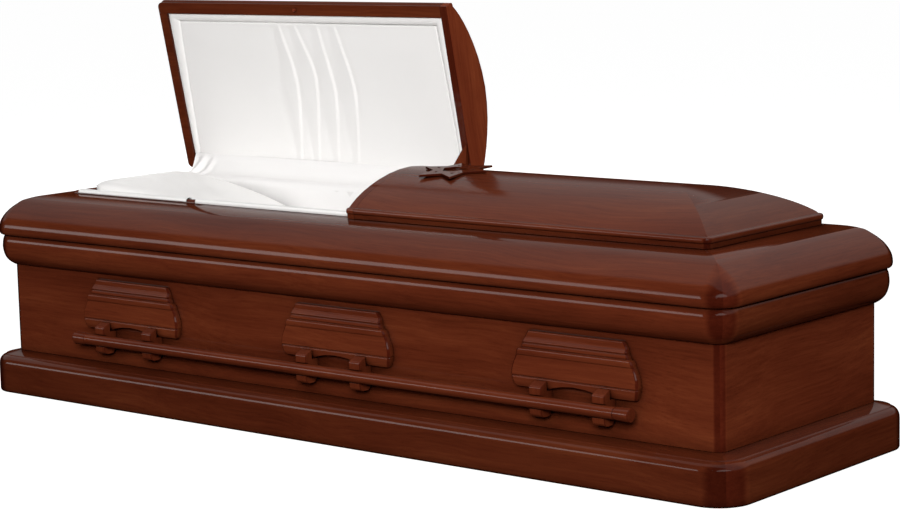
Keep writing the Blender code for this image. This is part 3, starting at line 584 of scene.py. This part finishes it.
def clean_node(name, material, soften=0.0006):
    """Show a CAD node with its arrises eased and its facets shaded smooth."""
    piece = nodes[name]
    piece.data.materials.clear()
    piece.data.materials.append(material)
    split_normals = piece.data.attributes.get("custom_normal")
    if split_normals:
        piece.data.attributes.remove(split_normals)
    piece.data.shade_smooth()
    weld = piece.modifiers.new("weld", "WELD")
    weld.merge_threshold = 0.00002
    flat = piece.modifiers.new("flat", "DECIMATE")
    flat.decimate_type = "DISSOLVE"
    flat.angle_limit = math.radians(0.5)
    arris = piece.modifiers.new("arris", "BEVEL")
    arris.width = soften
    arris.segments = 2
    arris.limit_method = "ANGLE"
    arris.angle_limit = math.radians(28)
    arris.harden_normals = True
    even = piece.modifiers.new("even", "WEIGHTED_NORMAL")
    even.keep_sharp = True
    return piece


clean_node("foot_cap_end_board", mahogany("foot_cap_board_wood", ALONG_Y, 61.0, 1.1))
# Painted light: the open head cap's end board takes a much brighter tone.
clean_node("head_cap_end_board", mahogany("head_cap_board_wood", turned(ALONG_Y), 66.0, 1.9,
                                            edge_way=-turned(ALONG_Z)[0]))
clean_node("catch_pin", mahogany("catch_pin_wood", ALONG_Z, 71.0, 2.2), 0.0003)
clean_node("corner_wedge", mahogany("corner_wedge_wood", ALONG_Z, 73.0), 0.0004)
clean_node("star", mahogany("star_wood", ALONG_X, 75.0, 0.95), 0.0005)


# Handles: on each long side three moulded plates with a pair of arms each, and a round bar through the arms
# with a turned tip at each end, all of the same wood.
for side in ("front", "back"):
    shift = 80.0 if side == "front" else 110.0
    for step, label in enumerate(("head", "middle", "foot")):
        clean_node(f"{side}_{label}_ear", mahogany(f"{side}_{label}_ear_wood", ALONG_X, shift + step), 0.0011)
        for arm in ("left", "right"):
            clean_node(f"{side}_{label}_{arm}_arm", mahogany(f"{side}_{label}_{arm}_arm_wood", ALONG_Z, shift + 5 + step),
                       0.0012)
    clean_node(f"{side}_handle_bar", mahogany(f"{side}_handle_bar_wood", ALONG_X, shift + 9), 0.0003)
    for label in ("head", "foot"):
        clean_node(f"{side}_{label}_bar_tip", mahogany(f"{side}_{label}_bar_tip_wood", ALONG_X, shift + 12), 0.0003)


# Boards that the lining hides: floor, bed board and its two supports, of plain unpolished timber, and the
# long brown metal hinge at the back of the head cap.
for step, name in enumerate(("floor_board", "bed_board", "head_bed_support", "foot_bed_support")):
    material, wire, shader = new_finish(f"{name}_timber", Base_Color=(0.34, 0.20, 0.11, 1.0), Roughness=0.7)
    clean_node(name, material)
for name in ("hinge_knuckle", "hinge_leaf"):
    material, wire, shader = new_finish(f"{name}_metal", Base_Color=(0.20, 0.10, 0.05, 1.0), Roughness=0.35,
                                        Metallic=1.0)
    clean_node(name, material, 0.0003)


# Lining of the head cap: white crepe stretched over a thin board, with a soft roll tacked round three of its
# sides and four long tucks that run from the roll down to the hinge side.
def white_cloth(name, colour=(0.85, 0.835, 0.82), crinkle=0.12, thread=420.0):
    """Matt white crepe with a fine crinkle, and painted shade that darkens its colour in folds, corners and deep in the
    box.
    """
    material, wire, shader = new_finish(name, Roughness=0.75, Specular_IOR_Level=0.2, Sheen_Weight=0.15,
                                        Sheen_Roughness=0.5, Base_Color=(*colour, 1.0))
    place = wire.node("ShaderNodeTexCoord", out=3)
    weave = wire.node("ShaderNodeTexNoise", {}, {"Vector": place, "Scale": thread, "Detail": 2.0})
    bump = wire.node("ShaderNodeBump", {}, {"Height": weave, "Strength": crinkle, "Distance": 0.0006})
    feed(bump, shader, "Normal")
    # Painted shade: ambient occlusion darkens the crepe's colour in its folds, in corners and deep inside the box.
    nook = wire.node("ShaderNodeAmbientOcclusion", {"samples": 6}, {"Distance": 0.070}, 1)
    painted_fold_shade = wire.node("ShaderNodeMapRange", {}, {"Value": nook, 1: 0.10, 2: 0.75, 3: 0.55, 4: 1.0})
    shaded_crepe = wire.node("ShaderNodeMix", {"data_type": "RGBA", "blend_type": "MULTIPLY"},
                      {0: 1.0, 6: (*colour, 1.0), 7: painted_fold_shade}, 2)
    feed(shaded_crepe, shader, "Base Color")
    return material


def cloth_grid(name, across, along, point, material, body=None, ring=False):
    """One sheet of cloth: point(u, v) gives its place for u and v from 0 to 1; ring closes it in u."""
    bm = bmesh.new()
    spans = across if ring else across - 1
    rows = [[bm.verts.new(point(i / spans, j / (along - 1))) for i in range(across)] for j in range(along)]
    for low, high in zip(rows, rows[1:]):
        for i in range(spans):
            k = (i + 1) % across
            face = bm.faces.new((low[i], low[k], high[k], high[i]))
            face.smooth = True
    mesh = bpy.data.meshes.new(name)
    bm.to_mesh(mesh)
    bm.free()
    mesh.materials.append(material)
    piece = bpy.data.objects.new(name, mesh)
    scene.collection.objects.link(piece)
    if body:
        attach(piece, body)
    return piece


def ease(value, start, end):
    """0 before start, 1 after end and a soft step between them."""
    share = min(max((value - start) / (end - start), 0.0), 1.0)
    return share * share * (3 - 2 * share)


def ripple(*turns):
    """Uneven waves: the sum of sines of the given (turn, size) pairs."""
    return sum(size * math.sin(turn) for turn, size in turns)


LID_LEFT, LID_RIGHT, LID_FRONT, LID_HINGE = -0.9055, -0.0213, -0.1865, 0.1770
LID_CLOTH = SEAT + 0.0122
ROLL_RISE = 0.0086
TUCKS = [
    ((-0.165, -0.5370), (-0.062, -0.5130), (0.022, -0.5120), (0.177, -0.5370)),
    ((-0.165, -0.4860), (-0.069, -0.4500), (0.005, -0.4480), (0.177, -0.4795)),
    ((-0.165, -0.4130), (-0.044, -0.3930), (0.024, -0.3910), (0.177, -0.4160)),
    ((-0.165, -0.3590), (-0.030, -0.3280), (0.064, -0.3320), (0.177, -0.3515)),
]
tuck_lines = []
for tuck in TUCKS:
    line = spline([(y, x, 0.0) for y, x in tuck], 12)
    tuck_lines.append(([spot.x for spot in line], [spot.y for spot in line]))


def lid_relief(x, y):
    """How far the lining of the shut cap stands down from its board at x, y."""
    slant = (y - LID_FRONT) / (LID_HINGE - LID_FRONT)
    left = (x - LID_LEFT) / (0.0335 - 0.0150 * slant)
    right = (LID_RIGHT - x) / (0.0230 - 0.0130 * slant)
    front = (y - LID_FRONT) / 0.0200
    near = min(left, right, front)
    if near < 1.0:
        share = max(near, 0.0)
        plump = 1.0 + 0.04 * math.sin(95 * x + 80 * y) * math.sin(math.pi * share)
        if share < 0.35:
            return ROLL_RISE * (0.84 + 0.16 * math.sin(math.pi / 2 * share / 0.35)) * plump
        return ROLL_RISE * math.cos(math.pi / 2 * (share - 0.35) / 0.65) ** 0.3 * plump
    swell = 0.0068 * ease(near, 0.97, 1.12) - 0.0004 + 0.0014 * ease(near, 1.2, 4.5)
    height = swell + 0.0009 * ripple((5.1 * x + 7 * y, 1.0), (13.0 * x - 9 * y + 1.0, 0.5))
    middle = 1.0 - abs(2 * slant - 1.0)
    for ys, xs in tuck_lines:
        gap = x - float(np.interp(y, ys, xs))
        size = (0.0008 + 0.0012 * middle) * ease(near, 1.0, 1.8)
        soft = 0.0070 + 0.0200 * middle
        if gap < 0:
            height += size * math.exp(gap / soft) - 0.80 * size * math.exp(-((gap + 2.2 * soft) / soft) ** 2)
        else:
            height += size * math.exp(-gap / 0.0030) - 0.55 * size * math.exp(-((gap - 0.006) / 0.0065) ** 2)
    return height


def lid_lining_point(u, v):
    x = LID_LEFT + (u - 0.65 * math.sin(2 * math.pi * u) / (2 * math.pi)) * (LID_RIGHT - LID_LEFT)
    y = LID_FRONT + (v - 0.65 * math.sin(math.pi * v) / math.pi) * (LID_HINGE - LID_FRONT)
    return frame_turn(-1) @ Vector((x, y, LID_CLOTH - lid_relief(x, y)))


lid_lining = cloth_grid("head_cap_cloth", 430, 180, lid_lining_point, white_cloth("head_cap_crepe"), "head_lid")
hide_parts("head_cap_lining")
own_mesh(lid_lining)


# Apron: one strip of the same crepe, sewn along the hinge side of the cap's lining, that falls over the hinge
# and the back of the rim and hangs inside the box.
hinge_seam = lid_lining_point(0.5, 1.0)
APRON_PATH = [(hinge_seam.y - 0.0012, hinge_seam.z + 0.0010), (0.2185, 0.5200), (0.2100, 0.5060), (0.2000, 0.4940),
              (0.1900, 0.4868), (0.1800, 0.4830), (0.1715, 0.4785), (0.1665, 0.4700), (0.1645, 0.4560),
              (0.1632, 0.4400), (0.1622, 0.4160), (0.1622, 0.3980)]
apron_line = spline([(0.0, y, z) for y, z in APRON_PATH], 5)


def apron_point(u, v):
    x = -0.9020 + u * (-0.0225 + 0.9020)
    step = v * (len(apron_line) - 1)
    low = min(int(step), len(apron_line) - 2)
    spot = apron_line[low].lerp(apron_line[low + 1], step - low)
    head_end = 1.0 - ease(x, -0.90, -0.80)
    lower = ease(v, 0.45, 0.95)
    waves = 0.0060 * head_end * math.sin(165 * x + 9 * v) * math.sin(math.pi * min(v * 1.6, 1.0))
    waves += 0.0012 * ripple((9 * x + 2 * v, 1.0), (31 * x - 5 * v, 0.5)) * math.sin(math.pi * v)
    waves += 0.0004 * lower * ripple((95 * x + 1.5 * math.sin(7 * x), 1.0), (161 * x, 0.4))
    return Vector((x, spot.y - 0.75 * waves, spot.z + 0.6 * waves))


# Painted shade: the apron's crepe is a darker white than the lid's, for the shade inside the box.
apron = cloth_grid("apron", 420, 56, apron_point, white_cloth("apron_crepe", (0.76, 0.745, 0.735)))
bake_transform(apron)


# Wall cloth: the same crepe gathered along its top edge and tacked under the lip all round the inside, so
# that it hangs in small uneven folds down to the bed.
wall_low, wall_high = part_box("front_lining")
end_low, end_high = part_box("head_end_lining")
WALL_Y = (abs(wall_low.y) + abs(wall_high.y)) / 2
WALL_X = (abs(end_low.x) + abs(end_high.x)) / 2
WALL_ROUND = 0.020
WALL_TOP = wall_high.z - 0.0005
WALL_DROP = 0.1120
long_run = 2 * (WALL_X - WALL_ROUND)
short_run = 2 * (WALL_Y - WALL_ROUND)
turn_run = math.pi / 2 * WALL_ROUND
round_run = 2 * long_run + 2 * short_run + 4 * turn_run


def wall_place(run):
    """Point and outward direction at a distance round the inside, from the head end of the front."""
    legs = ((long_run, (-WALL_X + WALL_ROUND, -WALL_Y), (1, 0), (0, -1)), (turn_run, (WALL_X, -WALL_Y), 0, 0),
            (short_run, (WALL_X, -WALL_Y + WALL_ROUND), (0, 1), (1, 0)), (turn_run, (WALL_X, WALL_Y), 0, 0),
            (long_run, (WALL_X - WALL_ROUND, WALL_Y), (-1, 0), (0, 1)), (turn_run, (-WALL_X, WALL_Y), 0, 0),
            (short_run, (-WALL_X, WALL_Y - WALL_ROUND), (0, -1), (-1, 0)), (turn_run, (-WALL_X, -WALL_Y), 0, 0))
    for order, (length, start, way, out) in enumerate(legs):
        if run <= length or order == 7:
            break
        run -= length
    if order % 2 == 0:
        return Vector((start[0] + way[0] * run, start[1] + way[1] * run)), Vector(out)
    sx, sy = math.copysign(1, start[0]), math.copysign(1, start[1])
    angle = math.radians(-90 + 90 * (order // 2)) + min(run / WALL_ROUND, math.pi / 2)
    out = Vector((math.cos(angle), math.sin(angle)))
    return Vector((start[0] - sx * WALL_ROUND, start[1] - sy * WALL_ROUND)) + out * WALL_ROUND, out


def wall_point(u, v):
    run = (u % 1.0) * round_run
    spot, out = wall_place(run)
    lap = 2 * math.pi * u
    fold = ripple((118 * lap + 2.2 * math.sin(7 * lap), 0.6), (71 * lap + 1.7 * math.sin(5 * lap) + 1.9 * v, 0.5),
                  (203 * lap, 0.15))
    spot = spot + out * (0.0026 * fold * (0.45 + 0.55 * ease(v, 0.0, 0.5)) - 0.0004)
    return Vector((spot.x, spot.y, WALL_TOP - v * WALL_DROP))


# Painted shade: the wall's crepe is darker still, for the deeper shade inside the box.
wall_cloth = cloth_grid("wall_cloth", 2400, 12, wall_point, white_cloth("wall_crepe", (0.70, 0.685, 0.675)), "box", True)
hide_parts("front_lining", "back_lining", "head_end_lining", "foot_end_lining")


# Edge roll: a padded band of crepe laid over the lip of the rim from the catch to the caps' joint. From the
# catch to the head end the lip has a flatter cover of the same cloth.
ROLL_START, ROLL_END = -0.4980, split - board - 0.0020
COVER_START, COVER_END = -0.8960, -0.5220
LIP_Y = -(HALF_WIDTH - LIP_BACK)
ROLL_PATH = [(0.0035, -0.0060), (0.0045, 0.0035), (0.0005, 0.0092), (-0.0070, 0.0102), (-0.0128, 0.0090),
             (-0.0152, 0.0050), (-0.0148, 0.0006)]
COVER_PATH = [(0.0040, -0.0060), (0.0045, 0.0030), (0.0010, LIP_RISE + 0.0018), (-0.0065, LIP_RISE + 0.0026),
              (-0.0125, LIP_RISE + 0.0006), (-0.0150, 0.0044), (-0.0146, 0.0022)]


def lip_padding(name, path, start, end):
    """Padded band over the front lip between two places along it, closed down softly at its ends."""
    line = spline([(0.0, LIP_Y + y, SEAT + z) for y, z in path], 5)
    middle = Vector((0.0, LIP_Y - 0.0065, SEAT + 0.0006))

    def point(u, v):
        x = start + u * (end - start)
        step = v * (len(line) - 1)
        low = min(int(step), len(line) - 2)
        spot = line[low].lerp(line[low + 1], step - low)
        close = math.sqrt(1.0 - (1.0 - ease(x, start, start + 0.007) * 0.97 - 0.03) ** 2)
        spot = middle.lerp(spot, close * (1.0 + 0.018 * ripple((70 * x, 1.0), (113 * x + 4 * v, 0.6))))
        return Vector((x, spot.y, spot.z))

    piece = cloth_grid(name, 220, 31, point, white_cloth(f"{name}_crepe"), "box")
    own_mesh(piece)


lip_padding("edge_roll", ROLL_PATH, ROLL_START, ROLL_END)
lip_padding("lip_cover", COVER_PATH, COVER_START, COVER_END)


# Mattress: a light pad in white crepe with rounded edges and a soft crown.
def padded_box(name, low, high, radius, swell, material, steps=(90, 24)):
    """Cushion of the given box: rounded edges and a soft crown above."""
    middle, half = (low + high) / 2, (high - low) / 2
    bm = bmesh.new()
    rows = []
    stations = [(radius * (1 - math.sin(math.radians(90 * k / 6))), -half.z + radius * (1 - math.cos(
        math.radians(90 * k / 6)))) for k in range(7)]
    stations += [(inset, -height) for inset, height in reversed(stations)]
    across, along = steps
    edge = []
    for i in range(across):
        edge.append((-1 + 2 * i / across, -1))
    for i in range(along):
        edge.append((1, -1 + 2 * i / along))
    for i in range(across):
        edge.append((1 - 2 * i / across, 1))
    for i in range(along):
        edge.append((-1, 1 - 2 * i / along))

    def ring(inset, height, share=1.0):
        points = []
        for a, b in edge:
            x, y = a * (half.x - inset) * share, b * (half.y - inset) * share
            lift = swell * (1 - (x / half.x) ** 4) * (1 - (y / half.y) ** 4) * (1 if height > 0 else 0)
            points.append((middle.x + x, middle.y + y, middle.z + height + lift))
        return points

    for inset, height in stations:
        rows.append([bm.verts.new(point) for point in ring(inset, height)])
    for share in (0.96, 0.88, 0.75, 0.55, 0.30, 0.08):
        rows.append([bm.verts.new(point) for point in ring(radius, half.z, share)])
    count = len(edge)
    for a, b in zip(rows, rows[1:]):
        for i in range(count):
            k = (i + 1) % count
            bm.faces.new((a[i], a[k], b[k], b[i])).smooth = True
    bm.faces.new(list(reversed(rows[0])))
    bm.faces.new(rows[-1]).smooth = True
    mesh = bpy.data.meshes.new(name)
    bm.to_mesh(mesh)
    bm.free()
    mesh.materials.append(material)
    piece = bpy.data.objects.new(name, mesh)
    scene.collection.objects.link(piece)
    return piece


pad_low, pad_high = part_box("bed_pad")
pad_high = Vector((pad_high.x, pad_high.y, pad_high.z - 0.0030))
# Painted shade: the mattress takes the apron's darker white, for the shade inside the box.
mattress = padded_box("mattress", pad_low, pad_high, 0.012, 0.0030, white_cloth("mattress_crepe", (0.76, 0.745, 0.735)))
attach(mattress, "box")
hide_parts("bed_pad")


# Pillow: a soft filled pillow in the same white, full and steep at the head, sloping down to the foot side,
# and as wide as the box, so that its sides press against the lining.
pillow_low, pillow_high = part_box("pillow")
PILLOW_CREST = -0.831
PILLOW_RISE = 0.126
PILLOW_OVER = 0.021
pillow_middle = (pillow_low + pillow_high) / 2
pillow_half = (pillow_high - pillow_low) / 2


def pillow_top(x, y):
    """Height of the pillow above the bed at x, y."""
    if x < PILLOW_CREST:
        back = (PILLOW_CREST - x) / (PILLOW_CREST - pillow_low.x)
        slope = (1.0 - min(back, 1.0) ** 7.9) ** 0.68
    else:
        slope = (1.0 - min((x - PILLOW_CREST) / (pillow_high.x - PILLOW_CREST), 1.0) ** 1.21) ** 0.50
    side = (1.0 - min(abs(y) / pillow_half.y, 1.0) ** 9.5) ** 0.21
    creases = ripple((38 * x + 9 * math.sin(11 * y), 1.0), (23 * y - 31 * x + 2.0, 0.8), (61 * y + 17 * x, 0.35))
    corner = max(abs(x - pillow_middle.x) / pillow_half.x, abs(y) / pillow_half.y)
    return (PILLOW_RISE + 0.0012 * creases * (1.0 - ease(corner, 0.6, 0.9))) * slope * side


bm = bmesh.new()
rows = []
spreads = [0.80, 0.95, 0.99, 1.0] + [1.0 - 0.0035 * k ** 1.75 for k in range(1, 25)]
for order, spread in enumerate(spreads):
    row = []
    for k in range(160):
        turn = 2 * math.pi * k / 160
        reach = (abs(math.cos(turn)) ** 12 + abs(math.sin(turn)) ** 12) ** (-1 / 12)
        x = pillow_middle.x + pillow_half.x * spread * reach * math.cos(turn)
        y = pillow_half.y * spread * reach * math.sin(turn)
        z = pillow_low.z + (pillow_top(x, y) if order > 3 else 0.0)
        over = ease(z, SEAT + 0.0070, SEAT + 0.0120) * (1.0 - ease(x, pillow_low.x, PILLOW_CREST))
        row.append(bm.verts.new((x - PILLOW_OVER * over, y, z)))
    rows.append(row)
for low, high in zip(rows, rows[1:]):
    for i in range(160):
        k = (i + 1) % 160
        bm.faces.new((low[i], low[k], high[k], high[i])).smooth = True
bm.faces.new(list(reversed(rows[0])))
bm.faces.new(rows[-1]).smooth = True
mesh = bpy.data.meshes.new("pillow_cushion")
bm.to_mesh(mesh)
bm.free()
mesh.materials.append(white_cloth("pillow_satin"))
pillow = bpy.data.objects.new("pillow_cushion", mesh)
scene.collection.objects.link(pillow)
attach(pillow, "box")
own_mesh(pillow)
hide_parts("pillow")
